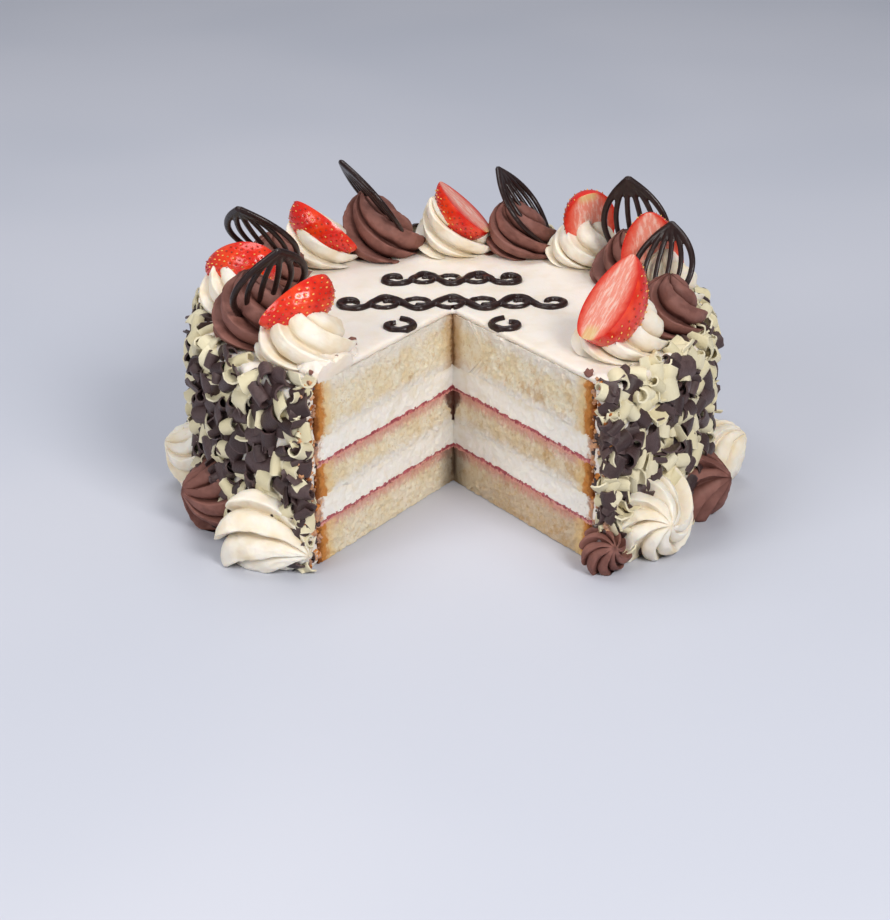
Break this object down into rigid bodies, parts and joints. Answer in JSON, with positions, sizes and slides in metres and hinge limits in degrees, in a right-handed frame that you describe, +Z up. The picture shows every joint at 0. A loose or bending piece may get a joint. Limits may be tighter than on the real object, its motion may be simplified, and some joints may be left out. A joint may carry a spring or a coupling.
{
  "type": "strawberry chocolate layer cake",
  "caption": "Round layer cake with one slice cut out, buttercream rosettes, strawberry halves, chocolate lattices and chocolate curls on its side.",
  "frame": {"origin": "middle of the round cake, on its base", "axes": "+Z up; -Y is the front, where the slice was cut out; +X to the right seen from the front"},
  "size_m": [0.2893, 0.2563, 0.1447],
  "materials": {
    "sponge": "dry open crumb",
    "jam": "wet, thin",
    "cream": "smooth, soft satin",
    "coat": "satin buttercream with dark and pale chocolate curls",
    "chocolate_cream": "smooth, matte",
    "strawberry": "moist, seeded",
    "dark_chocolate": "semi-gloss"
  },
  "bodies": {
    "root": {"sponge_bottom": "sponge", "jam_lower": "jam", "cream_lower": "cream", "sponge_middle": "sponge", "jam_upper": "jam", "cream_upper": "cream", "sponge_top": "sponge", "icing": "coat", "cream_rosette_1": "cream", "cream_rosette_2": "cream", "cream_rosette_3": "cream", "cream_rosette_4": "cream", "cream_rosette_5": "cream", "cream_rosette_6": "cream", "cream_rosette_7": "cream", "chocolate_rosette_1": "chocolate_cream", "chocolate_rosette_2": "chocolate_cream", "chocolate_rosette_3": "chocolate_cream", "chocolate_rosette_4": "chocolate_cream", "chocolate_rosette_5": "chocolate_cream", "chocolate_rosette_6": "chocolate_cream", "foot_cream_rosette_1": "cream", "foot_cream_rosette_2": "cream", "foot_cream_rosette_3": "cream", "foot_cream_rosette_4": "cream", "foot_cream_rosette_5": "cream", "foot_cream_rosette_6": "cream", "foot_cream_rosette_7": "cream", "foot_chocolate_rosette_1": "chocolate_cream", "foot_chocolate_rosette_2": "chocolate_cream", "foot_chocolate_rosette_3": "chocolate_cream", "foot_chocolate_rosette_4": "chocolate_cream", "foot_chocolate_rosette_5": "chocolate_cream", "foot_chocolate_rosette_6": "chocolate_cream", "foot_chocolate_rosette_7": "chocolate_cream", "strawberry_half_1": "strawberry", "strawberry_half_2": "strawberry", "strawberry_half_3": "strawberry", "strawberry_half_4": "strawberry", "strawberry_half_5": "strawberry", "strawberry_half_6": "strawberry", "strawberry_half_7": "strawberry", "chocolate_lattice_1": "dark_chocolate", "chocolate_lattice_2": "dark_chocolate", "chocolate_lattice_3": "dark_chocolate", "chocolate_lattice_4": "dark_chocolate", "chocolate_lattice_5": "dark_chocolate", "chocolate_lattice_6": "dark_chocolate"}
  },
  "joints": []
}
